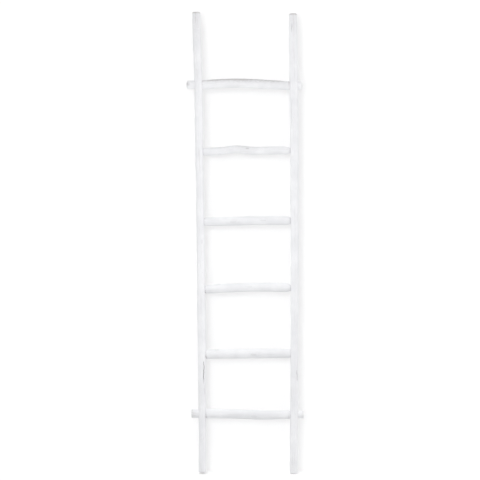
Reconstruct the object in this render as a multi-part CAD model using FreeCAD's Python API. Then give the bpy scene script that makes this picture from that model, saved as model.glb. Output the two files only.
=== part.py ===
"""A rustic blanket ladder: two natural pole rails, six peeled-branch rungs and the nails that lock them.

Each rung has a round tenon whittled at either end. The four middle rungs stop in blind mortises, and the
bottom and the top rung go right through both rails and stand out as stubs. A wire nail, driven from the
back of the rail, locks each tenon.

Millimetres. +Z is up along the ladder, +X is to the right as seen from the front, and +Y is towards the
wall that the ladder leans on. The origin is on the floor, below the middle of the ladder's box.
"""

import FreeCAD
import Part

import math
import os
from dataclasses import dataclass, field

from FreeCAD import Vector

# Driving dimensions of the whole ladder.
LADDER_HEIGHT = 1800.0
RAIL_DEPTH = 50.0
RAIL_STATIONS = 11
RAIL_ROUNDNESS = 2.7  # exponent of the oval section: 2 is an ellipse, more is squarer
RAIL_END_CHAMFER = 2.0
UNEVEN_CUT = 5.5  # the left rail is set this much higher than the right one

# Rungs and their joints.
RUNG_STATIONS = 13
RUNG_ROUNDNESS = 2.15
RUNG_DEPTH_RATIO = 1.02  # front-to-back size over height
SHOULDER_GAP = 0.5  # left between a rung's shoulder and the rail
SHOULDER_ROUNDING = 5.0
GLUE_GAP = 0.1  # radial, between tenon and mortise
MORTISE_END_WALL = 6.0  # wood left outside a blind mortise
TENON_END_GAP = 1.0
SECTION_POINTS = 16

# Wire nails, 2.5 by 35.
NAIL_RADIUS = 1.25
NAIL_LENGTH = 35.0
NAIL_HEAD_RADIUS = 3.0
NAIL_HEAD_THICKNESS = 1.2
NAIL_TIP_LENGTH = 4.0
NAIL_SUNK = 0.4  # head below the back of the rail
NAIL_INSET = 2.0  # from the rail's centre line, towards the rung

ACROSS = Vector(1, 0, 0)
BACK = Vector(0, 1, 0)
UP = Vector(0, 0, 1)


@dataclass
class Rail:
    """A pole. Its centre line runs from foot_x to top_x, bowed, with a slow sway front to back."""

    name: str
    side: int  # -1 on the left, +1 on the right
    foot: float  # height of its lower end
    top: float
    foot_x: float
    top_x: float
    bow: float  # of the centre line at mid height, along +X
    sway: float  # front to back
    foot_width: float
    waist_width: float
    top_width: float

    def place(self, z):
        """0 at the foot and 1 at the top."""
        return (z - self.foot) / (self.top - self.foot)

    def centre(self, z):
        """The point of the centre line at height z."""
        t = self.place(z)
        x = self.foot_x + (self.top_x - self.foot_x) * t + self.bow * arch(t)
        return Vector(x, self.sway * math.sin(2 * math.pi * t), z)

    def width(self, z):
        """Size along X at height z."""
        t = self.place(z)
        straight = self.foot_width + (self.top_width - self.foot_width) * t
        middle = (self.foot_width + self.top_width) / 2
        return straight + (self.waist_width - middle) * arch(t)

    def inner_face(self, z):
        """X of the face that looks at the other rail."""
        return self.centre(z).x - self.side * self.width(z) / 2

    def outer_face(self, z):
        """X of the face that looks away from the other rail."""
        return self.centre(z).x + self.side * self.width(z) / 2


@dataclass
class Rung:
    """A branch. Heights are those of its two joints; knuckles are (place, rise, spread) along its length."""

    name: str
    left_height: float
    right_height: float
    left_thick: float
    right_thick: float
    left_tenon: float  # diameter
    right_tenon: float
    bow: float = 0.0
    swell: float = 0.0  # extra thickness at mid length
    knuckles: list = field(default_factory=list)
    stub_ends: tuple = ()  # X of the two stub ends of a rung that goes right through
    stub_rounding: float = 0.0

    def height(self, side):
        """Height of the joint on that side."""
        return self.left_height if side < 0 else self.right_height

    def tenon_radius(self, side):
        """Radius of the tenon on that side."""
        return (self.left_tenon if side < 0 else self.right_tenon) / 2

    def centre_z(self, t):
        """Height of the centre line, with t from 0 at the left shoulder to 1 at the right."""
        z = self.left_height + (self.right_height - self.left_height) * t + self.bow * arch(t)
        return z + sum(rise * math.exp(-(((t - at) / spread) ** 2)) for at, rise, spread in self.knuckles)

    def thickness(self, t):
        """Size along Z."""
        return self.left_thick + (self.right_thick - self.left_thick) * t + self.swell * arch(t)


LEFT_RAIL = Rail("left_rail", -1, UNEVEN_CUT, LADDER_HEIGHT, -166.3, -190.5, 4.4, 1.5, 27.5, 30.0, 29.5)
RIGHT_RAIL = Rail("right_rail", 1, 0.0, LADDER_HEIGHT - UNEVEN_CUT, 188.5, 186.0, 5.0, -1.2, 27.5, 29.0, 30.0)
RAILS = (LEFT_RAIL, RIGHT_RAIL)

RUNGS = (
    Rung("bottom_rung", 234.0, 230.5, 38.0, 32.5, 33.0, 28.0, stub_ends=(-208.5, 228.0), stub_rounding=1.5),
    Rung("second_rung", 465.5, 469.0, 36.0, 34.0, 31.0, 29.0, bow=1.0, swell=1.5),
    Rung("third_rung", 718.5, 725.0, 32.0, 33.0, 27.0, 27.0, bow=5.5, swell=0.5),
    Rung("fourth_rung", 982.0, 987.5, 32.0, 33.0, 28.0, 28.0, bow=1.5, swell=0.5),
    Rung("fifth_rung", 1256.0, 1261.0, 29.5, 31.0, 24.5, 24.5,
         knuckles=[(0.38, 6.5, 0.14), (0.70, -1.0, 0.10)]),
    Rung("top_rung", 1517.5, 1514.0, 34.0, 34.0, 32.5, 32.0, bow=8.0, swell=1.0, stub_ends=(-228.0, 223.0),
         stub_rounding=6.0),
)


def arch(t):
    """0 at both ends and 1 in the middle."""
    return 4 * t * (1 - t)


def oval(centre, first, second, half_first, half_second, roundness):
    """A closed oval wire in the plane of two directions."""
    points = []
    for i in range(SECTION_POINTS):
        angle = 2 * math.pi * i / SECTION_POINTS
        c, s = math.cos(angle), math.sin(angle)
        a = half_first * math.copysign(abs(c) ** (2 / roundness), c)
        b = half_second * math.copysign(abs(s) ** (2 / roundness), s)
        points.append(centre + first * a + second * b)
    curve = Part.BSplineCurve()
    curve.interpolate(Points=points, PeriodicFlag=True)
    return Part.Wire([curve.toShape()])


def rod(start, direction, radius, length):
    """A plain cylinder."""
    return Part.makeCylinder(radius, length, start, direction)


def edges_in_plane(shape, axis, value):
    """The edges that lie wholly at one value of an axis, named by its attribute."""
    return [e for e in shape.Edges if all(abs(getattr(v.Point, axis) - value) < 1e-4 for v in e.Vertexes)
            and abs(getattr(e.CenterOfMass, axis) - value) < 1e-3]


def rail_section(rail, z, shrink=0.0):
    """The rail's outline at height z."""
    half_width, half_depth = rail.width(z) / 2 - shrink, RAIL_DEPTH / 2 - shrink
    return oval(rail.centre(z), ACROSS, BACK, half_width, half_depth, RAIL_ROUNDNESS)


def plain_rail(rail):
    """The pole with its chamfered ends, before the mortises are drilled."""
    low, high = rail.foot + RAIL_END_CHAMFER, rail.top - RAIL_END_CHAMFER
    step = (high - low) / (RAIL_STATIONS - 1)
    sections = [rail_section(rail, low + step * i) for i in range(RAIL_STATIONS)]
    foot = Part.makeLoft([rail_section(rail, rail.foot, RAIL_END_CHAMFER), sections[0]], True, True)
    top = Part.makeLoft([sections[-1], rail_section(rail, rail.top, RAIL_END_CHAMFER)], True, True)
    return Part.makeLoft(sections, True, False).fuse([foot, top]).removeSplitter()


def tenon(rung, rail, gap):
    """A rung's tenon in a rail, or with a gap the hole for it."""
    height, radius = rung.height(rail.side), rung.tenon_radius(rail.side)
    y = rail.centre(height).y
    inner = rail.inner_face(height)
    if rung.stub_ends:
        outer = rung.stub_ends[0 if rail.side < 0 else 1]
    else:
        outer = rail.outer_face(height) - rail.side * (MORTISE_END_WALL + (0.0 if gap else TENON_END_GAP))
    reach = SHOULDER_ROUNDING  # the tenon starts inside the rung, and the hole starts in front of the rail
    start = Vector(inner - rail.side * reach, y, height)
    shape = rod(start, ACROSS * rail.side, radius + gap, abs(outer - start.x))
    if rung.stub_ends and not gap:
        shape = shape.makeFillet(rung.stub_rounding, edges_in_plane(shape, "x", outer))
    return shape


def rung_body(rung):
    """The full-thickness branch between the two shoulders, rounded down at both ends."""
    left = LEFT_RAIL.inner_face(rung.left_height) + SHOULDER_GAP
    right = RIGHT_RAIL.inner_face(rung.right_height) - SHOULDER_GAP
    left_y, right_y = (rail.centre(rung.height(rail.side)).y for rail in RAILS)
    sections = []
    for i in range(RUNG_STATIONS):
        t = i / (RUNG_STATIONS - 1)
        centre = Vector(left + (right - left) * t, left_y + (right_y - left_y) * t, rung.centre_z(t))
        half = rung.thickness(t) / 2
        sections.append(oval(centre, BACK, UP, half * RUNG_DEPTH_RATIO, half, RUNG_ROUNDNESS))
    body = Part.makeLoft(sections, True, False)
    ends = edges_in_plane(body, "x", left) + edges_in_plane(body, "x", right)
    return body.makeFillet(SHOULDER_ROUNDING, ends)


def nail(rung, rail):
    """The nail through one joint: head, shank and point, driven from the back."""
    height = rung.height(rail.side)
    centre = rail.centre(height)
    start = Vector(centre.x - rail.side * NAIL_INSET, centre.y + RAIL_DEPTH / 2 - NAIL_SUNK, height)
    straight = NAIL_LENGTH - NAIL_TIP_LENGTH
    head = rod(start, -BACK, NAIL_HEAD_RADIUS, NAIL_HEAD_THICKNESS)
    shank = rod(start, -BACK, NAIL_RADIUS, straight)
    point = Part.makeCone(NAIL_RADIUS, 0.0, NAIL_TIP_LENGTH, start - BACK * straight, -BACK)
    pocket = rod(start, BACK, NAIL_HEAD_RADIUS, 2 * NAIL_SUNK)
    return head.fuse([shank, point]).removeSplitter(), pocket


def build():
    """Every sub-part by name."""
    parts = {}
    nails = {rail.name: [] for rail in RAILS}
    for rung in RUNGS:
        holes = []
        for rail in RAILS:
            pin, pocket = nail(rung, rail)
            parts[f"{rung.name}_{'left' if rail.side < 0 else 'right'}_nail"] = pin
            nails[rail.name] += [pin, pocket]
            holes.append(pin)
        body = rung_body(rung).fuse([tenon(rung, rail, 0.0) for rail in RAILS])
        parts[rung.name] = body.removeSplitter().cut(holes)
    for rail in RAILS:
        holes = [tenon(rung, rail, GLUE_GAP) for rung in RUNGS]
        parts[rail.name] = plain_rail(rail).cut(holes + nails[rail.name])
    return parts


def main():
    """Writes one STEP file per sub-part."""
    os.makedirs("parts", exist_ok=True)
    for name, shape in build().items():
        if not shape.isValid() or len(shape.Solids) != 1:
            raise RuntimeError(f"{name} is not one valid solid: {len(shape.Solids)} solids")
        print(f"{name}: {shape.Volume / 1000:.1f} cm3")
        shape.Solids[0].exportStep(f"parts/{name}.step")


main()
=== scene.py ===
"""The looks of a rustic blanket ladder: limewashed pole rails, whittled branch rungs, nails and a studio.

The ladder's own poles are carved here over the fixed CAD frame. Each one starts as a plain turned blank,
is bent and swollen along the CAD pole's own line, and then gets its tool marks, knots, drying cracks and
worn ends. Metres. +Z is up, the front faces -Y, and the wall that the ladder leans on is towards +Y.
"""

import math
from dataclasses import dataclass, field

import bmesh
import bpy
import numpy as np
from mathutils import Matrix, Vector, noise
from mathutils.bvhtree import BVHTree


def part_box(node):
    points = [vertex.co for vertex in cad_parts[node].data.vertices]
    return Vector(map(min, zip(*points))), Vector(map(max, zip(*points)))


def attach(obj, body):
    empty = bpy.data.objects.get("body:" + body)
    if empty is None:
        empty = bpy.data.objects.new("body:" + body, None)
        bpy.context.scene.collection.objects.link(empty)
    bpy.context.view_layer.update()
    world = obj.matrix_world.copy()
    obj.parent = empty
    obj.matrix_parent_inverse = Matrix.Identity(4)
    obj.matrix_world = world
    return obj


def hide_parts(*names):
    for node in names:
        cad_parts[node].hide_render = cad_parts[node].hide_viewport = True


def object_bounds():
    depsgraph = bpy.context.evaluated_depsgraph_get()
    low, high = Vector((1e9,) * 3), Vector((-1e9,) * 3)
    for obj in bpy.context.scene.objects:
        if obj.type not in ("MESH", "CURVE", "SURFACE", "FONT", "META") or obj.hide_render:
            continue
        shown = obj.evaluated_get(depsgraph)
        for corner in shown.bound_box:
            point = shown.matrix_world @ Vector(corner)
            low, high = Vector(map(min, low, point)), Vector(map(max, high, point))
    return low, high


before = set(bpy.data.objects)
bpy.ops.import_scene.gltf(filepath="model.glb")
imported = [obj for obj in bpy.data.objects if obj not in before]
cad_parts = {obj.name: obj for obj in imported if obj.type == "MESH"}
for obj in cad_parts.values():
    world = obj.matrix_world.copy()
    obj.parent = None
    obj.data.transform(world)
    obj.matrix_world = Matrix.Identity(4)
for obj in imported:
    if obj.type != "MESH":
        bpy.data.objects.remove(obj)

bl_info = {
    "name": "Blanket Ladder",
    "version": (1, 0, 0),
    "blender": (4, 5, 0),
    "location": "View3D > Sidebar > Ladder",
    "description": "Carves and limewashes a rustic blanket ladder over its CAD frame",
    "category": "Object",
}

CAD_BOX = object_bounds()
BODY = "root"
RAILS = ("left_rail", "right_rail")
RUNGS = ("bottom_rung", "second_rung", "third_rung", "fourth_rung", "fifth_rung", "top_rung")
SIDES = {"left": -1, "right": 1}
X, Y, Z = range(3)
FAR = 3.0  # a ray starts this far out
RAIL_ROUNDNESS = 2.7  # exponent of the oval section: 2 is an ellipse, more is squarer
RUNG_ROUNDNESS = 2.15


# ---------------- what a pole is


@dataclass
class Knot:
    """A cut branch stub. Its place along the pole and round it, its radius, and how far it stands out."""

    along: float
    angle: float  # degrees
    radius: float
    rise: float
    stretch: float = 1.5  # its length along the grain over its width


@dataclass
class Crack:
    """A drying crack or a drawknife score that runs with the grain and may drift round the pole."""

    start: float
    end: float
    angle: float
    width: float
    depth: float
    drift: float = 0.0  # degrees, from start to end


@dataclass
class Swelling:
    """A stretch where the pole is thicker, or thinner if negative, and where its line is moved."""

    along: float
    spread: float
    first: float = 0.0  # added to the half size, in the pole's first direction across
    second: float = 0.0
    aside: float = 0.0  # moves the pole's line in its first direction across
    lift: float = 0.0  # moves it in its second direction across


@dataclass
class Patch:
    """A stretch where the limewash is thinned and darker, or lies thicker and lighter if the strength is
    negative. Some patches are real wear, many are painted shade, and the negative ones are painted light.
    """

    along: float
    spread: float
    angle: float
    wide: float  # degrees
    strength: float


@dataclass
class Character:
    """What makes one pole different from the next."""

    seed: int
    knots: list = field(default_factory=list)
    cracks: list = field(default_factory=list)
    swellings: list = field(default_factory=list)
    patches: list = field(default_factory=list)
    rim: float = 0.45  # how much the limewash is thinned, and the wood darker, at the edges of its sawn ends
    softness: float = 0.0008  # radius that the edges of its ends are worn to


# Round a rail, 0 is to the right, 90 to the back and -90 to the front.
# Round a rung, 0 is to the back, 90 is up and 180 to the front.
CHARACTERS = {
    "left_rail": Character(
        3,
        knots=[
            Knot(1.655, 150, 0.0050, 0.0010), Knot(1.205, 165, 0.0065, 0.0016),
            Knot(0.905, -70, 0.0045, 0.0008), Knot(0.610, 95, 0.0070, 0.0018),
            Knot(1.395, 60, 0.0060, 0.0014), Knot(0.120, 48, 0.0055, 0.0010),
        ],
        cracks=[
            Crack(0.352, 0.440, -62, 0.0026, 0.0040), Crack(0.296, 0.356, -60, 0.0016, 0.0015, 5),
            Crack(0.770, 0.830, -136, 0.0016, 0.0012), Crack(1.690, 1.796, 84, 0.0022, 0.0050, -14),
            Crack(0.010, 0.260, 128, 0.0020, 0.0040, 18), Crack(1.020, 1.180, -40, 0.0010, 0.0006, 8),
            Crack(0.560, 0.700, -92, 0.0010, 0.0006, 5), Crack(1.300, 1.440, -100, 0.0010, 0.0006, -6),
        ],
        swellings=[
            Swelling(0.900, 2.000, first=0.0003, aside=0.0008),
            Swelling(1.720, 0.120, first=0.0006, aside=-0.0006),
            Swelling(1.640, 0.050, first=0.0006), Swelling(1.420, 0.070, first=0.0009),
            Swelling(1.470, 0.140, aside=0.0019), Swelling(1.120, 0.100, first=-0.0009),
            Swelling(0.580, 0.150, first=0.0006, aside=0.0002), Swelling(0.480, 0.100, first=0.0010),
            Swelling(0.060, 0.060, first=0.0002, aside=-0.0004),
        ],
        patches=[
            # Painted shade: the patches at 1.760, 1.600 and 0.000 darken the front towards the top and the
            # foot, where the light falls off. The one at 1.799 darkens a thin line along the top edge.
            Patch(0.140, 0.036, -115, 60, 0.20), Patch(1.760, 0.090, -100, 130, 0.26),
            Patch(1.600, 0.080, -110, 60, 0.12), Patch(0.000, 0.050, -90, 160, 0.14),
            Patch(1.799, 0.004, -90, 150, 0.50),
        ],
    ),
    "right_rail": Character(
        8,
        knots=[
            Knot(1.280, 75, 0.0050, 0.0010), Knot(0.880, 120, 0.0065, 0.0016),
            Knot(0.575, 118, 0.0048, 0.0009), Knot(1.590, 88, 0.0060, 0.0015),
            Knot(0.300, 20, 0.0060, 0.0014), Knot(1.060, -172, 0.0060, 0.0014),
        ],
        cracks=[
            Crack(1.720, 1.756, -120, 0.0018, 0.0020, 12), Crack(1.345, 1.462, -125, 0.0020, 0.0016, 4),
            Crack(0.362, 0.406, -50, 0.0024, 0.0024), Crack(0.280, 0.345, -140, 0.0020, 0.0016, 5),
            Crack(0.560, 0.720, 104, 0.0020, 0.0040, 12), Crack(0.002, 0.060, 76, 0.0022, 0.0050, 8),
            Crack(0.900, 1.060, -84, 0.0010, 0.0006, 6), Crack(0.520, 0.640, -120, 0.0010, 0.0006, -4),
        ],
        swellings=[
            Swelling(0.900, 2.000, first=0.0008, aside=0.0014),
            Swelling(1.300, 0.300, first=0.0005, aside=0.0004),
            Swelling(1.740, 0.060, first=0.0006, aside=0.0002),
            Swelling(1.785, 0.020, first=-0.0014), Swelling(1.500, 0.170, first=0.0011),
            Swelling(1.080, 0.080, aside=-0.0006), Swelling(0.930, 0.030, first=0.0005),
            Swelling(0.535, 0.050, first=-0.0009), Swelling(0.520, 0.080, aside=-0.0011),
            Swelling(0.320, 0.050, first=0.0006), Swelling(0.140, 0.060, aside=-0.0007),
        ],
        patches=[
            # Painted shade: the patches at 1.780 and 0.030 darken the front towards the top and the foot,
            # where the light falls off. The one at 1.793 darkens a thin line along the top edge.
            Patch(1.780, 0.060, -90, 150, 0.18), Patch(0.030, 0.040, -90, 160, 0.16),
            Patch(1.793, 0.004, -90, 150, 0.60),
        ],
    ),
    "bottom_rung": Character(
        14,
        knots=[Knot(0.035, 200, 0.0045, 0.0006, 2.2), Knot(-0.110, 60, 0.0060, 0.0014)],
        cracks=[
            Crack(-0.210, -0.190, 166, 0.0014, 0.0010), Crack(-0.210, -0.184, 200, 0.0014, 0.0010, 8),
            Crack(0.030, 0.120, 20, 0.0018, 0.0030, 6), Crack(-0.120, 0.020, 172, 0.0009, 0.0004, 4),
        ],
        swellings=[Swelling(0.075, 0.075, lift=-0.0026)],
        patches=[
            # Painted shade: the patch at 0.010 darkens the underside, which the light from above leaves
            # darker. Those at 0.170 and -0.153 darken thin lines where the rung meets the rails.
            Patch(0.010, 0.160, 268, 24, 0.45), Patch(0.170, 0.003, 200, 120, 0.30),
            Patch(-0.207, 0.014, 180, 120, 0.36), Patch(0.224, 0.010, 180, 160, 0.14),
            Patch(-0.153, 0.004, 240, 40, 0.5),
        ],
        rim=0.25,
        softness=0.0015,
    ),
    "second_rung": Character(
        21,
        knots=[Knot(-0.110, 120, 0.0052, 0.0008), Knot(0.034, 192, 0.0034, 0.0008, 3.0)],
        cracks=[
            Crack(0.016, 0.064, 178, 0.0014, 0.0008, -10), Crack(0.052, 0.160, 182, 0.0014, 0.0008, 20),
            Crack(0.016, 0.060, 206, 0.0012, 0.0006, 6), Crack(-0.120, -0.050, 40, 0.0020, 0.0030, 8),
        ],
        # Painted shade: a thin dark line on the lower front where the rung meets the left rail.
        patches=[Patch(-0.153, 0.004, 235, 44, 0.7)],
    ),
    "third_rung": Character(
        27,
        knots=[
            Knot(0.019, 170, 0.0034, 0.0007, 2.2), Knot(-0.105, 100, 0.0060, 0.0014),
            Knot(0.120, 250, 0.0050, 0.0010),
        ],
        cracks=[Crack(-0.010, 0.060, 162, 0.0010, 0.0006, 8)],
        swellings=[
            Swelling(0.176, 0.009, first=-0.0025, second=-0.0030), Swelling(-0.050, 0.080, lift=-0.0011),
        ],
        # Painted shade: a thin dark line on the lower front where the rung meets the left rail. Painted
        # light: the negative patch makes the lower front lighter.
        patches=[Patch(-0.156, 0.004, 240, 40, 0.6), Patch(0.000, 0.160, 220, 50, -0.15)],
    ),
    "fourth_rung": Character(
        35,
        knots=[
            Knot(-0.047, 190, 0.0034, 0.0007, 3.2), Knot(0.071, 176, 0.0032, 0.0007, 3.2),
            Knot(0.010, 70, 0.0060, 0.0012),
        ],
        cracks=[Crack(-0.090, -0.030, 196, 0.0011, 0.0006, -6), Crack(0.080, 0.150, 30, 0.0018, 0.0026, 8)],
        swellings=[Swelling(0.177, 0.008, first=-0.0020, second=-0.0025)],
    ),
    "fifth_rung": Character(
        42,
        knots=[
            Knot(0.009, 150, 0.0026, 0.0006, 2.4), Knot(0.080, 60, 0.0055, 0.0014),
            Knot(-0.100, 270, 0.0045, 0.0008),
        ],
        cracks=[Crack(0.012, 0.060, 138, 0.0010, 0.0005, 10), Crack(-0.090, -0.010, 20, 0.0012, 0.0010, 8)],
        swellings=[
            Swelling(0.176, 0.010, first=-0.0025, second=-0.0030), Swelling(0.100, 0.050, lift=0.0020),
            Swelling(-0.050, 0.050, lift=0.0010),
        ],
        patches=[
            # Painted shade: the first three darken the top, which faces away from the light, and the last
            # darkens the whole front.
            Patch(-0.030, 0.070, 106, 36, 0.38), Patch(0.060, 0.050, 108, 32, 0.32),
            Patch(-0.130, 0.035, 102, 26, 0.26), Patch(0.000, 0.130, 170, 60, 0.14),
        ],
    ),
    "top_rung": Character(
        50,
        knots=[
            Knot(-0.221, 172, 0.0050, 0.0005, 1.1), Knot(0.060, 255, 0.0045, 0.0006),
            Knot(-0.070, 20, 0.0045, 0.0010),
        ],
        cracks=[Crack(-0.120, 0.010, 30, 0.0012, 0.0008, 8), Crack(0.020, 0.110, 246, 0.0010, 0.0006, -6)],
        swellings=[Swelling(0.085, 0.065, lift=-0.0022)],
        patches=[
            # The first three darken the top, partly as darker bare wood and partly as painted shade where the
            # top faces away from the light. Painted shade: those at -0.177 and 0.170 darken thin lines where
            # the rung meets the rails, and the one at 0.000 darkens the whole front. Painted light: the
            # negative patch at 0.214 lightens the right stub where the light from the right falls on it.
            Patch(-0.020, 0.100, 104, 34, 0.85), Patch(-0.128, 0.042, 102, 34, 0.80),
            Patch(0.115, 0.056, 104, 34, 0.85), Patch(-0.177, 0.003, 130, 80, 0.45),
            Patch(0.170, 0.002, 125, 70, 0.34), Patch(0.000, 0.130, 146, 40, 0.36),
            Patch(-0.226, 0.006, 150, 100, 0.35), Patch(0.214, 0.010, 180, 200, -0.40),
        ],
        rim=0.0,
        softness=0.0060,
    ),
}


class Pole:
    """One rail or rung: the line, thickness and section of its CAD node, and its character."""

    def __init__(self, node, roundness):
        self.node = node
        self.roundness = roundness
        self.character = CHARACTERS[node]
        self.is_rail = node in RAILS
        self.run = Z if self.is_rail else X
        self.across = (X, Y) if self.is_rail else (Y, Z)
        low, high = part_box(node)
        self.low, self.high = low[self.run], high[self.run]
        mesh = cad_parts[node].data
        faces = [tuple(p.vertices) for p in mesh.polygons]
        self.tree = BVHTree.FromPolygons([v.co for v in mesh.vertices], faces)
        self.stations = self.clear_stations()
        self.readings = np.array([self.read(s) for s in self.stations])
        if not self.is_rail:
            self.readings[:, 2:] = smoothed(self.readings[:, 2:], 3)

    def clear_stations(self):
        """Places along the pole where a ray meets its bark and not a mortise."""
        if not self.is_rail:
            margin, count = 0.0004, 240
            return np.linspace(self.low + margin, self.high - margin, count)
        margin, clear = 0.004, 0.07
        heights = [sum(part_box(rung), Vector())[Z] / 2 for rung in RUNGS]
        inside = [height + way for height in heights for way in (-clear, clear)]
        return np.array([self.low + margin, *inside, self.high - margin])

    def probe(self, point, axis):
        """Where the CAD node begins and ends on a line through a point along one axis."""
        ends = []
        for side in (-1, 1):
            start = Vector(point)
            start[axis] = FAR * side
            heading = Vector((0, 0, 0))
            heading[axis] = -side
            ends.append(self.tree.ray_cast(start, heading)[0][axis])
        return ends

    def read(self, s):
        """The centre and the half size in both directions across. The second pair of rays misses the nail."""
        found, other = self.across if self.is_rail else reversed(self.across)
        point = Vector((0, 0, 0))
        point[self.run] = s
        low, high = self.probe(point, found)
        middle = {found: (low + high) / 2}
        half = {found: (high - low) / 2}
        off_centre = 0.4
        point[found] = middle[found] + off_centre * half[found]
        low, high = self.probe(point, other)
        middle[other] = (low + high) / 2
        half[other] = (high - low) / 2 / (1 - off_centre**self.roundness) ** (1 / self.roundness)
        first, second = self.across
        return middle[first], middle[second], half[first], half[second]

    def centre(self, s):
        """The pole's line, in its two directions across."""
        first = np.interp(s, self.stations, self.readings[:, 0])
        second = np.interp(s, self.stations, self.readings[:, 1])
        for w in self.character.swellings:
            first = first + w.aside * bell(s, w.along, w.spread)
            second = second + w.lift * bell(s, w.along, w.spread)
        return first, second

    def half_sizes(self, s):
        """Half its thickness, in its two directions across."""
        first = np.interp(s, self.stations, self.readings[:, 2])
        second = np.interp(s, self.stations, self.readings[:, 3])
        for w in self.character.swellings:
            first = first + w.first * bell(s, w.along, w.spread)
            second = second + w.second * bell(s, w.along, w.spread)
        return first, second

    def face_x(self, z, side):
        """On a rail, X of the face on that side at height z."""
        return float(self.centre(z)[0] + side * self.half_sizes(z)[0])


def smoothed(table, reach):
    """Each row averaged with its neighbours."""
    kernel = np.hanning(2 * reach + 3)[1:-1]
    kernel /= kernel.sum()
    padded = np.pad(table, ((reach, reach), (0, 0)), mode="edge")
    return np.stack([np.convolve(column, kernel, "valid") for column in padded.T], 1)


def bell(value, middle, spread):
    """1 at the middle, falling off smoothly."""
    return np.exp(-(((value - middle) / spread) ** 2))


def step(value, low, high):
    """0 below low, 1 above high, smooth between."""
    t = np.clip((value - low) / (high - low), 0, 1)
    return t * t * (3 - 2 * t)


def turn_between(angle, other):
    """The signed turn from one angle to another, in radians."""
    return (angle - other + math.pi) % (2 * math.pi) - math.pi


# ---------------- carving


# Waves in a pole's surface: their share of its waviness, their length in metres, and how many go round it.
WAVES = ((1.0, 0.16, 1.0), (0.45, 0.055, 1.6), (0.14, 0.014, 4.0))
FLATS_ROUND_RAIL, FLATS_ROUND_RUNG = 9, 8  # drawknife cuts
NO_KNOT_NEAR = 9.0  # in a knot's radii
NO_CRACK_NEAR = 60.0  # in a crack's half widths
CAP_INSETS = (0.04, 0.08, 0.13, 0.15, 0.15, 0.15, 0.13)  # from ring to ring on a sawn end of radius 1
RING_CROWDING = 0.35  # how much closer the rings lie at a pole's ends
RUNG_FINENESS = 1.4  # how much closer they lie on a rung than on a rail
HEART_CHECKS = 3  # drying cracks that run out from the heart of a sawn end
CHECK_DEPTH = 0.0030
TENON_RELIEF = 0.12  # the share of the carving that a tenon gets
SHOULDER_LENGTH = 0.012  # over which a rung goes from tenon to full carving


def rough(pole, s, angle, wave, layer, rounds=1.0):
    """Random waves over the bark, between -1 and 1, about one every `wave` metres along the pole."""
    shift = pole.character.seed * 3.7 + layer * 11.3
    points = np.stack((np.cos(angle) * rounds + shift, np.sin(angle) * rounds - shift, s / wave), 1)
    return np.array([noise.noise(p) for p in points.tolist()])


def knot_reach(pole, s, angle, girth):
    """Distance to the nearest knot, in its own radii, and that knot's rise."""
    nearest = np.full(len(s), NO_KNOT_NEAR)
    rise = np.zeros(len(s))
    for knot in pole.character.knots:
        around = turn_between(angle, math.radians(knot.angle)) * girth
        reach = np.hypot((s - knot.along) / knot.stretch, around) / knot.radius
        rise = np.where(reach < nearest, knot.rise, rise)
        nearest = np.minimum(nearest, reach)
    return nearest, rise


def crack_reach(pole, s, angle, girth):
    """How far off the middle line of the nearest crack, in its half widths, left or right, and its depth."""
    nearest = np.full(len(s), NO_CRACK_NEAR)
    depth = np.zeros(len(s))
    for i, crack in enumerate(pole.character.cracks):
        t = (s - crack.start) / (crack.end - crack.start)
        wander = 0.05 * np.sin(s * 95 + i * 2.1) + 0.03 * np.sin(s * 260 + i)
        line = np.radians(crack.angle + crack.drift * t) + wander
        half = crack.width / 2 * np.sqrt(np.clip(4 * t * (1 - t), 0.0001, 1))
        off = np.clip(turn_between(angle, line) * girth / half, -NO_CRACK_NEAR, NO_CRACK_NEAR)
        closer = np.abs(off) < np.abs(nearest)
        depth = np.where(closer, crack.depth, depth)
        nearest = np.where(closer, off, nearest)
    return nearest, depth


def relief(pole, s, angle, looks):
    """How far the carved surface stands out of the smooth pole."""
    first, second = pole.half_sizes(s)
    girth = (first + second) / 2
    out = np.zeros_like(s)
    for layer, (share, wave, rounds) in enumerate(WAVES, 1):
        out += looks.waviness * share * rough(pole, s, angle, wave, layer, rounds)
    flats = FLATS_ROUND_RAIL if pole.is_rail else FLATS_ROUND_RUNG
    drift = 0.5 * rough(pole, s, angle * 0, 0.30, 4)
    within = ((angle + drift) * flats / (2 * math.pi) % 1 - 0.5) * 2 * math.pi / flats
    flatness = looks.flats * (0.55 + 0.45 * rough(pole, s, angle, 0.11, 5))
    cut = 1 - math.cos(math.pi / flats) / np.cos(within)
    out -= girth * (cut - cut.mean()) * np.clip(flatness, 0, 1)
    knot, rise = knot_reach(pole, s, angle, girth)
    out += rise * (np.exp(-((knot / 1.25) ** 4)) - 0.45 * np.exp(-((knot / 0.55) ** 2)))
    crack, depth = crack_reach(pole, s, angle, girth)
    out -= depth * np.clip(1 - np.abs(crack), 0, 1) ** 0.8
    return out


def blank(looks, length, name):
    """A capped cylinder of radius 1 and height 1 with rings close enough to carve."""
    bm = bmesh.new()
    bmesh.ops.create_cone(bm, cap_ends=True, segments=looks.sides, radius1=1, radius2=1, depth=1)
    upright = [e for e in bm.edges if abs(e.verts[0].co.z - e.verts[1].co.z) > 0.5]
    bmesh.ops.subdivide_edges(bm, edges=upright, cuts=round(length / looks.ring_gap))
    for cap in [f for f in bm.faces if len(f.verts) == looks.sides]:
        for width in CAP_INSETS:
            bmesh.ops.inset_region(bm, faces=[cap], thickness=width, use_even_offset=True)
        bmesh.ops.poke(bm, faces=[cap])
    bmesh.ops.recalc_face_normals(bm, faces=bm.faces)
    mesh = bpy.data.meshes.new(name)
    bm.to_mesh(mesh)
    bm.free()
    return mesh


def positions(mesh):
    """A mesh's vertices as rows of an array."""
    co = np.empty(len(mesh.vertices) * 3)
    mesh.vertices.foreach_get("co", co)
    return co.reshape(-1, 3)


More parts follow.
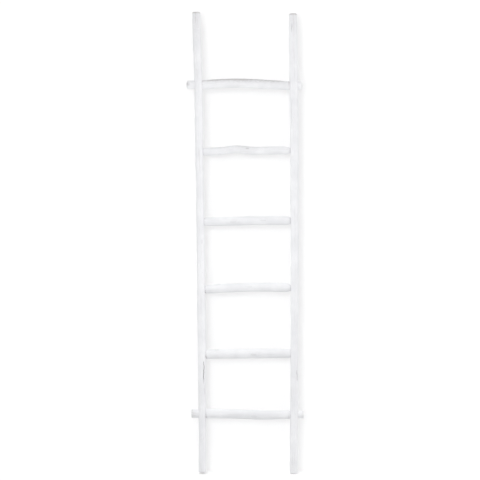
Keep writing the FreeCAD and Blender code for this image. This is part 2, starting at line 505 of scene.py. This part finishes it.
def end_face_relief(pole, ratio, angle):
    """How far a sawn end dips at each place: an uneven cut with heart checks."""
    seed = pole.character.seed
    dip = 0.0003 + 0.0003 * np.sin(ratio * 9 * np.cos(angle + seed) + seed)
    for i in range(HEART_CHECKS):
        ray = np.abs(turn_between(angle, seed + i * 2.15)) * np.maximum(ratio, 0.02)
        reach = step(ratio, 0.02, 0.2) * step(1 - ratio, 0.0, 0.3)
        dip = dip + CHECK_DEPTH * np.exp(-((ray / 0.045) ** 2)) * reach
    return dip


def carve(pole, mesh, looks, rails):
    """Moves the blank's vertices to the finished surface of the pole."""
    unit = positions(mesh)
    ratio = np.minimum(np.hypot(unit[:, 0], unit[:, 1]), 1)
    angle = np.arctan2(unit[:, 1], unit[:, 0])
    level = np.clip(unit[:, 2] + 0.5, 0, 1)
    level = level + RING_CROWDING * ((1 - np.cos(math.pi * level)) / 2 - level)
    s = pole.low + (pole.high - pole.low) * level
    from_end = np.minimum(s - pole.low, pole.high - s)
    soft = looks.end_rounding if pole.is_rail else pole.character.softness
    gone = np.clip(1 - from_end / soft, 0, 1)
    shrink = soft * (1 - np.sqrt(1 - gone**2))
    n = pole.roundness
    fit = (np.abs(np.cos(angle)) ** n + np.abs(np.sin(angle)) ** n) ** (-1 / n)
    out = relief(pole, s, angle, looks) * seen_part(pole, s, rails) - shrink
    first, second = pole.half_sizes(s)
    across = (first + out) * np.cos(angle) * fit * ratio, (second + out) * np.sin(angle) * fit * ratio
    middle = pole.centre(s)
    placed = np.empty_like(unit)
    for i, axis in enumerate(pole.across):
        placed[:, axis] = middle[i] + across[i]
    inwards = np.where(level < 0.5, 1, -1) * (ratio < 0.999)
    placed[:, pole.run] = s + inwards * end_face_relief(pole, ratio, angle)
    if not pole.is_rail:
        placed[:, X] += scribe(placed, s, rails)
    mesh.vertices.foreach_set("co", placed.ravel())
    mesh.update()


def seen_part(pole, s, rails):
    """1 on the stretches that show, and little where a rung's tenon has to stay round to fit its rail."""
    if pole.is_rail:
        return np.ones_like(s)
    left, right = shoulders(pole, rails)
    between = step(s, left, left + SHOULDER_LENGTH) * step(-s, -right, -right + SHOULDER_LENGTH)
    return TENON_RELIEF + (1 - TENON_RELIEF) * between


def shoulders(rung, rails):
    """X of the two rail faces that a rung meets."""
    height = [rung.centre(end)[1] for end in (rung.low + 0.01, rung.high - 0.01)]
    return rails["left_rail"].face_x(height[0], 1), rails["right_rail"].face_x(height[1], -1)


def scribe(placed, s, rails):
    """Moves a rung's end along X so that its shoulder follows the oval face of the rail."""
    move = np.zeros_like(s)
    for rail, side in zip(rails.values(), SIDES.values()):
        middle, depth = rail.centre(placed[:, Z]), rail.half_sizes(placed[:, Z])
        off = np.clip(np.abs(placed[:, Y] - middle[1]) / depth[1], 0, 0.98)
        gap = depth[0] * (1 - (1 - off**rail.roundness) ** (1 / rail.roundness))
        away = -side * (s - (middle[0] - side * depth[0]))
        move += side * gap * step(away, -0.003, 0.001) * (1 - step(away, 0.006, 0.028))
    return move


# ---------------- marks that the finish follows


SAWN_REACH = 0.0042  # a sawn end's finish reaches this far from the pole's tip
RIM_SPREAD = 0.0035
# painted shade: how much a rung's wash is thinned and darkened where it meets a rail, and over what length
SHOULDER_SHADE, SHOULDER_SPREAD = 0.25, 0.0030
DARK_CRACK = 0.0045  # a crack this deep gets the full painted shade in its middle
CRACK_SURROUNDINGS = 12  # half widths from a crack's middle, past which nothing of it shows


def set_attribute(mesh, name, kind, values):
    """Stores one value or vector per vertex."""
    layer = mesh.attributes.new(name, kind, "POINT")
    field_name = "vector" if kind == "FLOAT_VECTOR" else "value"
    layer.data.foreach_set(field_name, np.asarray(values, np.float32).ravel())


def mark(pole, mesh, rails):
    """Writes where each vertex lies in the wood, how near it is to knots and cracks, and how far wear,
    painted shade and painted light change its limewash.
    """
    placed = positions(mesh)
    s = placed[:, pole.run]
    middle = pole.centre(s)
    across = [placed[:, axis] - middle[i] for i, axis in enumerate(pole.across)]
    half = pole.half_sizes(s)
    angle = np.arctan2(across[1] / half[1], across[0] / half[0])
    girth = (half[0] + half[1]) / 2
    from_end = np.minimum(s - pole.low, pole.high - s)
    ratio = np.hypot(across[0] / half[0], across[1] / half[1])
    sawn = (from_end < SAWN_REACH) * (1 - step(ratio, 0.86, 0.94))
    # the rims of the sawn ends, the patches and the shoulders: real wear together with painted shade, and
    # painted light from negative patches
    wear_shade_and_light = pole.character.rim * bell(from_end, 0, RIM_SPREAD)
    for patch in pole.character.patches:
        around = np.degrees(turn_between(angle, math.radians(patch.angle)))
        wear_shade_and_light = wear_shade_and_light + patch.strength * bell(s, patch.along, patch.spread) * bell(around, 0, patch.wide)
    if not pole.is_rail:
        # painted shade at both shoulders
        for shoulder in shoulders(pole, rails):
            wear_shade_and_light = wear_shade_and_light + SHOULDER_SHADE * bell(s, shoulder, SHOULDER_SPREAD)
    set_attribute(mesh, "grain", "FLOAT_VECTOR", np.stack((*across, s), 1))
    set_attribute(mesh, "knot", "FLOAT", knot_reach(pole, s, angle, girth)[0])
    crack, depth = crack_reach(pole, s, angle, girth)
    set_attribute(mesh, "crack", "FLOAT", crack)
    set_attribute(mesh, "gape", "FLOAT", step(depth, 0.0, DARK_CRACK) * (np.abs(crack) < CRACK_SURROUNDINGS))
    set_attribute(mesh, "sawn", "FLOAT", sawn)
    set_attribute(mesh, "wear_shade_and_light", "FLOAT", wear_shade_and_light)


# ---------------- mortises


MOUTH = 0.03  # a mortise's drill starts this far from the rail, on its inner side
OVERSHOOT = 0.02  # how far a drill goes on past the wood
BLIND_GAP = 0.001  # between the end of a tenon and the end of its blind mortise
TENON_STATION = 0.012  # how far in from its tip a tenon is measured
POCKET_GAP, POCKET_DEPTH = 0.0003, 0.0014  # round a nail's head, and below it
POCKET_SIDES = 32


def add_rod(bm, start, end, radius, sides=64):
    """A closed cylinder between two points."""
    run = end - start
    turn = run.to_track_quat("Z", "Y").to_matrix().to_4x4()
    place = Matrix.Translation((start + end) / 2) @ turn
    bmesh.ops.create_cone(
        bm, cap_ends=True, segments=sides, radius1=radius, radius2=radius, depth=run.length, matrix=place
    )


def drill(rail_piece, rail, side, rungs, looks):
    """Cuts the mortises and the nails' pockets out of a rail."""
    bm = bmesh.new()
    for rung in rungs.values():
        tip = rung.low if side < 0 else rung.high
        stub = abs(tip) > abs(rail.face_x(rung.centre(tip)[1], side))
        reach = tip + side * (OVERSHOOT if stub else BLIND_GAP)
        inside = tip - side * TENON_STATION
        y, z = (float(v) for v in rung.centre(inside))
        radius = float(rung.half_sizes(inside)[1]) + looks.joint_gap
        mouth = rail.face_x(z, -side) - side * MOUTH
        add_rod(bm, Vector((mouth, y, z)), Vector((reach, y, z)), radius)
    for rung in rungs:
        low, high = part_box(f"{rung}_{'left' if side < 0 else 'right'}_nail")
        middle = (low + high) / 2
        bottom = Vector((middle.x, high.y - POCKET_DEPTH, middle.z))
        outside = Vector((middle.x, high.y + OVERSHOOT, middle.z))
        add_rod(bm, bottom, outside, (high.x - low.x) / 2 + POCKET_GAP, POCKET_SIDES)
    mesh = bpy.data.meshes.new("drill")
    bm.to_mesh(mesh)
    bm.free()
    bit = bpy.data.objects.new("drill", mesh)
    bpy.context.scene.collection.objects.link(bit)
    cut = rail_piece.modifiers.new("mortises", "BOOLEAN")
    cut.operation = "DIFFERENCE"
    cut.solver = "MANIFOLD"
    cut.object = bit
    bake_modifiers(rail_piece)
    bpy.data.objects.remove(bit)


def bake_modifiers(piece):
    """Replaces a piece's mesh with what its modifiers make of it."""
    bpy.context.view_layer.update()
    evaluated = piece.evaluated_get(bpy.context.evaluated_depsgraph_get())
    finished = bpy.data.meshes.new_from_object(evaluated)
    piece.modifiers.clear()
    piece.data = finished


def smooth_shade(mesh, sharp_angle=math.radians(50)):
    """Smooth shading with creases where the surface turns sharply."""
    bm = bmesh.new()
    bm.from_mesh(mesh)
    for face in bm.faces:
        face.smooth = True
    for edge in bm.edges:
        edge.smooth = len(edge.link_faces) == 2 and edge.calc_face_angle(0.0) < sharp_angle
    bm.to_mesh(mesh)
    bm.free()


# ---------------- finishes


class Recipe:
    """A material in the making, with short ways to add nodes and join them."""

    def __init__(self, name):
        self.material = bpy.data.materials.new(name)
        self.material.use_nodes = True
        self.tree = self.material.node_tree
        self.shader = self.tree.nodes["Principled BSDF"]

    def add(self, kind, feeds, **settings):
        """A node with its settings, and its inputs fed by sockets or set to values."""
        node = self.tree.nodes.new(kind)
        for name, value in settings.items():
            setattr(node, name, value)
        for key, value in feeds.items():
            self.feed(node.inputs[key], value)
        return node

    def feed(self, socket, value):
        """Links a socket, or sets it if it gets a plain value."""
        if isinstance(value, bpy.types.NodeSocket):
            self.tree.links.new(value, socket)
        else:
            socket.default_value = value

    def math(self, operation, a, b=0.0, c=0.0):
        """One sum."""
        return self.add("ShaderNodeMath", {0: a, 1: b, 2: c}, operation=operation).outputs[0]

    def attribute(self, name, output="Fac"):
        """What carving left on the mesh."""
        return self.add("ShaderNodeAttribute", {}, attribute_name=name).outputs[output]

    def stretched(self, vector, along):
        """Coordinates that make a pattern long with the grain."""
        return self.add("ShaderNodeMapping", {"Vector": vector, "Scale": (1, 1, along)}).outputs[0]

    def noise(self, vector, scale, detail, roughness, distortion=0.0):
        """Fractal noise, about 0 to 1."""
        feeds = {"Vector": vector, "Scale": scale, "Detail": detail, "Roughness": roughness}
        return self.add("ShaderNodeTexNoise", {**feeds, "Distortion": distortion}).outputs["Fac"]

    def between(self, value, low, high, to_low=0.0, to_high=1.0):
        """A smooth step."""
        feeds = {"Value": value, "From Min": low, "From Max": high, "To Min": to_low, "To Max": to_high}
        return self.add("ShaderNodeMapRange", feeds, interpolation_type="SMOOTHSTEP").outputs[0]

    def mix(self, amount, a, b):
        """Two colours, mixed by an amount."""
        colour_a, colour_b, colour_out = 6, 7, 2  # its sockets for numbers and vectors have the same names
        node = self.add("ShaderNodeMix", {"Factor": amount, colour_a: a, colour_b: b}, data_type="RGBA")
        return node.outputs[colour_out]

    def bump(self, height, strength, distance):
        """Small relief."""
        feeds = {"Height": height, "Strength": strength, "Distance": distance}
        return self.add("ShaderNodeBump", feeds).outputs[0]


def opaque(colour):
    """A colour property as a socket value."""
    return (*colour, 1.0)


def limewashed_wood(name, finish, shift):
    """Grey weathered wood under a thin coat of limewash, which is thinner on knots, edges and sawn ends, and
    thinner or thicker where shade or light is painted into it.
    """
    r = Recipe(name)
    plain = r.attribute("grain", "Vector")
    moved = {"Vector": plain, "Location": (shift, shift * 0.7, shift * 1.3)}
    grain = r.add("ShaderNodeMapping", moved).outputs[0]
    knot, gape = r.attribute("knot"), r.attribute("gape")
    crack = r.math("ABSOLUTE", r.attribute("crack"))
    sawn, wear_shade_and_light = r.attribute("sawn"), r.attribute("wear_shade_and_light")

    # the wood swirls round its knots
    swirl = r.between(knot, 0.8, 3.2, 0.010, 0.0)
    bent = r.add("ShaderNodeCombineXYZ", {"X": swirl, "Y": swirl, "Z": 0.0}).outputs[0]
    flowing = r.add("ShaderNodeVectorMath", {0: grain, 1: bent}, operation="ADD").outputs[0]
    fibres = r.noise(r.stretched(flowing, 0.022), 900, 4, 0.6)
    streaks = r.noise(r.stretched(flowing, 0.045), 210, 4, 0.6, 0.2)
    brush = r.noise(r.stretched(grain, 0.12), 420, 3, 0.5)
    clouds = r.noise(grain, 16, 3, 0.5)

    # bare wood
    grey = r.mix(fibres, opaque(finish.dark_wood), opaque(finish.pale_wood))
    wood = r.mix(r.between(streaks, 0.35, 0.7), grey, opaque(finish.warm_wood))
    rings = r.math("SINE", r.math("MULTIPLY_ADD", fibres, 5.0, r.math("MULTIPLY", knot, 15.0)))
    inside = r.between(knot, 1.15, 0.85)
    heart = r.mix(r.between(rings, -1, 1), opaque(finish.knot_wood), opaque(finish.dark_wood))
    wood = r.mix(inside, wood, heart)

    # growth rings on a sawn end
    flat = r.add("ShaderNodeVectorMath", {0: plain, 1: (1, 1, 0)}, operation="MULTIPLY").outputs[0]
    pith = {0: flat, 1: (0.002, -0.003, 0)}
    off_pith = r.add("ShaderNodeVectorMath", pith, operation="DISTANCE").outputs["Value"]
    wobble = r.noise(flat, 130, 3, 0.5)
    years = r.math("SINE", r.math("MULTIPLY_ADD", off_pith, 3600.0, r.math("MULTIPLY", wobble, 7.0)))
    pores = r.noise(flat, 1600, 2, 0.5)
    cut_face = r.mix(r.between(years, -0.7, 0.9), opaque(finish.pale_wood), opaque(finish.warm_wood))
    cut_face = r.mix(r.between(pores, 0.55, 0.75, 0.0, 0.5), cut_face, opaque(finish.knot_wood))
    wood = r.mix(sawn, wood, cut_face)

    # limewash
    wash = r.mix(r.between(clouds, 0.3, 0.7), opaque(finish.wash_shade), opaque(finish.wash))
    wash = r.mix(r.between(brush, 0.30, 0.62, 0.55, 0.0), wash, opaque(finish.wash_shade))
    thin = r.math("ADD", r.between(streaks, 0.52, 0.76, 0.0, 0.35), r.between(fibres, 0.56, 0.78, 0.0, 0.35))
    thin = r.math("ADD", thin, r.between(knot, 1.6, 0.7, 0.0, 0.15))
    knot_rim = r.math("MULTIPLY", r.between(knot, 0.80, 1.0), r.between(knot, 1.25, 1.05, 0.0, 0.12))
    thin = r.math("ADD", thin, knot_rim)
    chip = r.noise(r.stretched(grain, 0.30), 380, 4, 0.65)
    # wear and painted shade thin the wash so that it reads darker, and painted light from negative patches
    # thickens it so that it reads lighter
    thinning_by_wear_and_shade = r.math("MULTIPLY", wear_shade_and_light, r.between(chip, 0.34, 0.60, 0.35, 1.15))
    thin = r.math("ADD", thin, thinning_by_wear_and_shade)
    thin = r.math("ADD", thin, r.math("MULTIPLY", sawn, r.between(chip, 0.35, 0.65, 0.30, 0.75)))
    cover = r.between(thin, 0.0, 1.0, 1.0 - finish.thinness, 0.0)
    colour = r.mix(cover, wood, wash)
    lips = r.math("MULTIPLY", gape, r.between(crack, 2.2, 0.9, 0.0, 0.20))
    colour = r.mix(lips, colour, opaque(finish.dark_wood))
    # the bare wood inside a crack plus painted shade: its middle is painted near black, the more so the
    # deeper the crack
    colour = r.mix(r.math("MULTIPLY", gape, r.between(crack, 1.15, 0.45)), colour, opaque(finish.crack))
    r.feed(r.shader.inputs["Base Color"], colour)

    r.feed(r.shader.inputs["Roughness"], r.between(cover, 0.0, 1.0, 0.62, 0.86))
    r.shader.inputs["Specular IOR Level"].default_value = 0.3
    height = r.math("MULTIPLY_ADD", brush, 0.6, fibres)
    height = r.math("MULTIPLY_ADD", cover, 0.5, height)
    height = r.math("MULTIPLY_ADD", r.math("MULTIPLY", gape, r.between(crack, 1.2, 0.4)), -1.5, height)
    height = r.math("MULTIPLY_ADD", r.math("MULTIPLY", rings, inside), 0.25, height)
    r.feed(r.shader.inputs["Normal"], r.bump(height, 0.55, 0.0005))
    return r.material


def limed_steel(name, finish):
    """A wire nail's head, dull, a little rusty, with limewash left in its marks."""
    r = Recipe(name)
    where = r.add("ShaderNodeTexCoord", {}).outputs["Object"]
    spots = r.noise(where, 900, 4, 0.6)
    smear = r.noise(where, 420, 3, 0.6)
    steel = r.mix(r.between(spots, 0.50, 0.66), opaque(finish.steel), opaque(finish.rust))
    limed = r.between(smear, 0.46, 0.60)
    r.feed(r.shader.inputs["Base Color"], r.mix(limed, steel, opaque(finish.wash_shade)))
    r.feed(r.shader.inputs["Metallic"], r.between(limed, 0.0, 1.0, 0.9, 0.0))
    r.feed(r.shader.inputs["Roughness"], r.between(spots, 0.3, 0.7, 0.38, 0.75))
    r.feed(r.shader.inputs["Normal"], r.bump(r.math("ADD", spots, limed), 0.4, 0.0003))
    return r.material


def backdrop_paper(name, brightness, one_sided):
    """Matt white paper. A one-sided sheet can be looked through from behind."""
    r = Recipe(name)
    r.shader.inputs["Base Color"].default_value = (brightness, brightness, brightness, 1)
    r.shader.inputs["Roughness"].default_value = 1.0
    r.shader.inputs["Specular IOR Level"].default_value = 0.0
    if one_sided:
        behind = r.add("ShaderNodeNewGeometry", {}).outputs["Backfacing"]
        clear = r.add("ShaderNodeBsdfTransparent", {}).outputs[0]
        choice = r.add("ShaderNodeMixShader", {0: behind, 1: r.shader.outputs[0], 2: clear}).outputs[0]
        r.feed(r.tree.nodes["Material Output"].inputs["Surface"], choice)
    return r.material


# ---------------- what a user can change


def strength_property(name, description, default):
    """How strong a light is."""
    return bpy.props.FloatProperty(name=name, description=description, default=default, min=0.0)


def length_property(name, description, default):
    """A size in metres."""
    return bpy.props.FloatProperty(
        name=name, description=description, default=default, min=0.0, precision=4, unit="LENGTH"
    )


def colour_property(name, description, default):
    """A colour."""
    return bpy.props.FloatVectorProperty(
        name=name, description=description, default=default, subtype="COLOR", size=3, min=0.0, max=1.0
    )


class LadderCarving(bpy.types.PropertyGroup):
    """How the poles are carved."""

    sides: bpy.props.IntProperty(
        name="Sides", description="Facets round a pole's mesh", default=96, min=24, max=160
    )
    ring_gap: length_property("Ring gap", "Distance between the rings of a pole's mesh", 0.0022)
    waviness: length_property("Waviness", "How far the surface wanders in and out", 0.0011)
    flats: bpy.props.FloatProperty(
        name="Flats", description="How flat the drawknife left its cuts", default=0.55, min=0.0, max=1.0,
        subtype="FACTOR",
    )
    end_rounding: length_property("End rounding", "Radius that the rails' sawn ends are worn to", 0.0032)
    joint_gap: length_property("Joint gap", "Gap round a tenon at the mouth of its mortise", 0.0006)


class LadderFinish(bpy.types.PropertyGroup):
    """The colours of wood, limewash and nails."""

    wash: colour_property("Limewash", "Fresh limewash", (0.872, 0.876, 0.892))
    wash_shade: colour_property("Thin limewash", "Limewash where it lies thin", (0.79, 0.795, 0.816))
    pale_wood: colour_property("Pale wood", "Bare wood, pale fibres", (0.60, 0.588, 0.598))
    warm_wood: colour_property("Warm wood", "Bare wood, warm streaks", (0.50, 0.468, 0.465))
    dark_wood: colour_property("Dark wood", "Bare wood, dark fibres", (0.335, 0.315, 0.332))
    knot_wood: colour_property("Knots", "The heart of a knot", (0.30, 0.275, 0.275))
    # painted shade: the middle of a deep crack is painted this dark, over its bare wood
    crack: colour_property("Cracks", "Inside a crack", (0.20, 0.19, 0.19))
    steel: colour_property("Nails", "Bare nail heads", (0.50, 0.50, 0.51))
    rust: colour_property("Rust", "Rust on the nail heads", (0.26, 0.12, 0.06))
    thinness: bpy.props.FloatProperty(
        name="Thinness", description="How much wood shows through sound limewash", default=0.04, min=0.0,
        max=1.0, subtype="FACTOR",
    )


class LadderStudio(bpy.types.PropertyGroup):
    """Backdrop, lamps and camera."""

    wall_gap: length_property("Wall gap", "From the back of the rails to the backdrop", 0.060)
    paper: bpy.props.FloatProperty(
        name="Paper", description="How white the paper is", default=0.90, min=0.0, max=1.0, subtype="FACTOR"
    )
    ambient: strength_property("Room light", "Strength of the light from all round", 0.89)
    front_lamp: strength_property("Front lamp", "Strength of the lamp in front of the ladder", 7.5)
    lamp_distance: length_property("Lamp distance", "From the ladder to the front lamp", 0.6)
    lamp_height: length_property("Lamp height", "Height of the front lamp", 1.12)
    left_light: strength_property("Left light", "Strength of the light on the ladder's left", 0.20)
    right_light: strength_property("Right light", "Strength of the light on the ladder's right", 0.75)
    top_light: strength_property("Top light", "Strength of the light on the ladder from above", 0.22)
    back_light: strength_property("Back light", "Strength of the light on the ladder's back", 0.35)
    paper_fill: strength_property("Paper fill", "Strength of the light that fills the shadow", 0.32)
    paper_key: strength_property("Paper key", "Strength of the lamp that throws the shadow", 7.8)
    key_distance: length_property("Key distance", "From the ladder to the lamp that throws the shadow", 14.0)
    floor_key: strength_property("Floor key", "Strength of the light on the floor alone", 0.90)
    camera_distance: length_property("Camera distance", "From the ladder to the camera", 10.0)
    camera_height: length_property("Camera height", "Height of the camera", 0.9116)
    camera_aside: bpy.props.FloatProperty(
        name="Camera aside", description="How far right of the ladder's middle the camera stands",
        default=-0.0194, precision=4, unit="LENGTH",
    )
    field_height: length_property("Field height", "Height of the camera's view at the ladder", 1.8732)


# ---------------- operators


def read_poles():
    """Every rail and rung as its CAD node has it."""
    rails = {node: Pole(node, RAIL_ROUNDNESS) for node in RAILS}
    rungs = {node: Pole(node, RUNG_ROUNDNESS) for node in RUNGS}
    return rails, rungs


def link(piece):
    """Puts a piece into the scene."""
    bpy.context.scene.collection.objects.link(piece)
    return piece


def declare(piece, node):
    """Tells the frame what a piece stands for."""
    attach(piece, BODY)
    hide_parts(node)


class LADDER_OT_rails(bpy.types.Operator):
    """Carve the two rails, drill their mortises and limewash them"""

    bl_idname = "ladder.rails"
    bl_label = "Carve Rails"

    def execute(self, context):
        looks = context.scene.ladder_carving
        finish = context.scene.ladder_finish
        rails, rungs = read_poles()
        for shift, (side, rail) in enumerate(zip(SIDES.values(), rails.values())):
            name = f"carved_{rail.node}"
            mesh = blank(looks, rail.high - rail.low, name)
            carve(rail, mesh, looks, rails)
            piece = link(bpy.data.objects.new(name, mesh))
            drill(piece, rail, side, rungs, looks)
            mark(rail, piece.data, rails)
            smooth_shade(piece.data)
            piece.data.materials.clear()
            piece.data.materials.append(limewashed_wood(f"limewashed {rail.node}", finish, 1.7 + shift))
            declare(piece, rail.node)
        return {"FINISHED"}


class LADDER_OT_rungs(bpy.types.Operator):
    """Carve the six rungs with their tenons and limewash them"""

    bl_idname = "ladder.rungs"
    bl_label = "Carve Rungs"

    def execute(self, context):
        looks = context.scene.ladder_carving
        finish = context.scene.ladder_finish
        rails, rungs = read_poles()
        for shift, rung in enumerate(rungs.values()):
            name = f"carved_{rung.node}"
            mesh = blank(looks, (rung.high - rung.low) * RUNG_FINENESS, name)
            carve(rung, mesh, looks, rails)
            piece = link(bpy.data.objects.new(name, mesh))
            mark(rung, piece.data, rails)
            smooth_shade(piece.data)
            piece.data.materials.append(limewashed_wood(f"limewashed {rung.node}", finish, 5.1 + 0.9 * shift))
            declare(piece, rung.node)
        return {"FINISHED"}


class LADDER_OT_nails(bpy.types.Operator):
    """Turn the wire nails that lock the tenons"""

    bl_idname = "ladder.nails"
    bl_label = "Drive Nails"

    def execute(self, context):
        steel = limed_steel("limed nail steel", context.scene.ladder_finish)
        for rung in RUNGS:
            for side in SIDES:
                node = f"{rung}_{side}_nail"
                piece = link(bpy.data.objects.new(f"driven_{node}", nail_mesh(node)))
                piece.data.materials.append(steel)
                declare(piece, node)
        return {"FINISHED"}


def nail_mesh(node):
    """A nail turned about its own axis: a domed head with a soft edge, a shank and a point."""
    low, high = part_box(node)
    middle = (low + high) / 2
    head, shank, tip = (high.x - low.x) / 2, 0.00125, 0.004
    length = high.y - low.y
    outline = [
        (0.0, 0.00025), (head * 0.35, 0.00020), (head * 0.70, 0.00005), (head * 0.92, -0.00015),
        (head, -0.00045), (head * 0.95, -0.00085), (shank * 1.3, -0.00120), (shank, -0.0020),
        (shank, tip - length), (shank * 0.45, tip * 0.35 - length), (0.0, -length),
    ]
    bm = bmesh.new()
    points = [bm.verts.new((r, y, 0)) for r, y in outline]
    edges = [bm.edges.new(pair) for pair in zip(points, points[1:])]
    bmesh.ops.spin(
        bm, geom=points + edges, cent=(0, 0, 0), axis=(0, 1, 0), angle=2 * math.pi, steps=32, use_merge=True,
        use_duplicate=False,
    )
    bmesh.ops.remove_doubles(bm, verts=bm.verts, dist=1e-6)
    bmesh.ops.recalc_face_normals(bm, faces=bm.faces)
    bmesh.ops.translate(bm, verts=bm.verts, vec=(middle.x, high.y, middle.z))
    for face in bm.faces:
        face.smooth = True
    mesh = bpy.data.meshes.new(f"driven_{node}")
    bm.to_mesh(mesh)
    bm.free()
    return mesh


SHEET_HALF_SIZE = 5.0
FRONT_LAMP_ASIDE, FRONT_LAMP_RADIUS = -0.04, 0.15
# Where the lamp that throws the shadow stands: aside and up for each metre of its distance, and its base.
KEY_ASIDE, KEY_RISE, KEY_BASE = -0.175, 0.170, 0.35
KEY_SOFTNESS = 0.18  # its radius for each metre of its distance
SUN_SPREAD = 0.28


class LADDER_OT_studio(bpy.types.Operator):
    """Lay the floor, hang the backdrop, and set the lamps and the camera"""

    bl_idname = "ladder.studio"
    bl_label = "Set Studio"

    def execute(self, context):
        scene, studio = context.scene, context.scene.ladder_studio
        floor = sheet("studio_floor", SHEET_HALF_SIZE, backdrop_paper("floor paper", studio.paper, False))
        wall = sheet("studio_wall", SHEET_HALF_SIZE, backdrop_paper("wall paper", studio.paper, True))
        back = CAD_BOX[1].y + studio.wall_gap
        wall.data.transform(Matrix.Translation((0, back, 0)) @ Matrix.Rotation(math.pi / 2, 4, "X"))
        bm = bmesh.new()
        bm.from_mesh(wall.data)
        everything = bm.verts[:] + bm.edges[:] + bm.faces[:]
        bmesh.ops.bisect_plane(bm, geom=everything, plane_co=(0, 0, 0), plane_no=(0, 0, 1), clear_inner=True)
        bm.to_mesh(wall.data)
        bm.free()
        for each in (floor, wall):
            each.visible_diffuse = False
            each.visible_glossy = False

        world = bpy.data.worlds.new("room light")
        world.use_nodes = True
        world.node_tree.nodes["Background"].inputs["Color"].default_value = (1, 1, 1, 1)
        world.node_tree.nodes["Background"].inputs["Strength"].default_value = studio.ambient
        scene.world = world

        paper = [floor, wall]
        ladder = [o for o in scene.objects if o.type == "MESH" and o not in paper]
        target = Vector((0, 0, studio.lamp_height))
        place = target + Vector((FRONT_LAMP_ASIDE, -studio.lamp_distance, 0))
        front = lamp("front_lamp", "POINT", place, target, ladder)
        front.energy, front.shadow_soft_size = 1.0, FRONT_LAMP_RADIUS
        even_glow(front, studio.front_lamp)
        away = studio.key_distance
        place = Vector((KEY_ASIDE * away, -away, KEY_BASE + KEY_RISE * away))
        key = lamp("paper_key", "POINT", place, target, paper)
        key.energy, key.shadow_soft_size = 1.0, KEY_SOFTNESS * away
        even_glow(key, studio.paper_key)
        far_lights = (
            ("left_light", (-3, -0.5, 0), studio.left_light, ladder),
            ("right_light", (3, 0, 0.5), studio.right_light, ladder),
            ("top_light", (0, -1, 3), studio.top_light, ladder),
            ("back_light", (0.5, 3, 1), studio.back_light, ladder),
            ("paper_fill", (0, -3, 2), studio.paper_fill, paper),
            ("floor_key", (-0.5, -3, 3), studio.floor_key, [floor]),
        )
        for name, way, strength, lit in far_lights:
            light = lamp(name, "SUN", target + Vector(way), target, lit)
            light.energy, light.angle, light.use_shadow = strength, SUN_SPREAD, name != "paper_fill"

        camera = bpy.data.cameras.new("camera")
        camera.sensor_width = 36.0
        camera.lens = camera.sensor_width * studio.camera_distance / studio.field_height
        viewer = link(bpy.data.objects.new("camera", camera))
        viewer.location = (studio.camera_aside, -studio.camera_distance, studio.camera_height)
        viewer.rotation_euler = (math.pi / 2, 0, 0)
        scene.camera = viewer
        scene.view_settings.view_transform = "Standard"
        return {"FINISHED"}


def sheet(name, half_size, material):
    """A flat sheet of paper, lying."""
    bm = bmesh.new()
    bmesh.ops.create_grid(bm, x_segments=1, y_segments=1, size=half_size)
    mesh = bpy.data.meshes.new(name)
    bm.to_mesh(mesh)
    bm.free()
    mesh.materials.append(material)
    return link(bpy.data.objects.new(name, mesh))


def lamp(name, kind, place, target, lit):
    """A lamp that lights only some of the objects, though all of them cast its shadow."""
    light = bpy.data.lights.new(name, kind)
    piece = link(bpy.data.objects.new(name, light))
    piece.location = place
    piece.rotation_mode = "QUATERNION"
    piece.rotation_quaternion = (target - place).to_track_quat("-Z", "Y")
    group = bpy.data.collections.new(f"lit by {name}")
    for each in lit:
        group.objects.link(each)
    piece.light_linking.receiver_collection = group
    return light


def even_glow(light, strength):
    """Makes a lamp as strong far away as near, so that a long object gets the same amount all along."""
    light.use_nodes = True
    tree = light.node_tree
    falloff = tree.nodes.new("ShaderNodeLightFalloff")
    falloff.inputs["Strength"].default_value = strength
    tree.links.new(falloff.outputs["Constant"], tree.nodes["Emission"].inputs["Strength"])


# ---------------- panel and run


STEPS = (LADDER_OT_rails, LADDER_OT_rungs, LADDER_OT_nails, LADDER_OT_studio)
GROUPS = {"ladder_carving": LadderCarving, "ladder_finish": LadderFinish, "ladder_studio": LadderStudio}


class LADDER_PT_sidebar(bpy.types.Panel):
    """The ladder's steps and settings"""

    bl_label = "Blanket Ladder"
    bl_idname = "LADDER_PT_sidebar"
    bl_space_type = "VIEW_3D"
    bl_region_type = "UI"
    bl_category = "Ladder"

    def draw(self, context):
        for operator in STEPS:
            self.layout.operator(operator.bl_idname)
        for name, group in GROUPS.items():
            box = self.layout.box()
            for setting in group.__annotations__:
                box.prop(getattr(context.scene, name), setting)


def register():
    """Makes the classes and settings known."""
    for cls in (*GROUPS.values(), *STEPS, LADDER_PT_sidebar):
        bpy.utils.register_class(cls)
    for name, group in GROUPS.items():
        setattr(bpy.types.Scene, name, bpy.props.PointerProperty(type=group))


def unregister():
    """Takes them away again."""
    for name in GROUPS:
        delattr(bpy.types.Scene, name)
    for cls in reversed((*GROUPS.values(), *STEPS, LADDER_PT_sidebar)):
        bpy.utils.unregister_class(cls)


def main():
    """Makes the whole ladder and its studio."""
    register()
    bpy.ops.ladder.rails()
    bpy.ops.ladder.rungs()
    bpy.ops.ladder.nails()
    bpy.ops.ladder.studio()


if __name__ == "__main__":
    main()
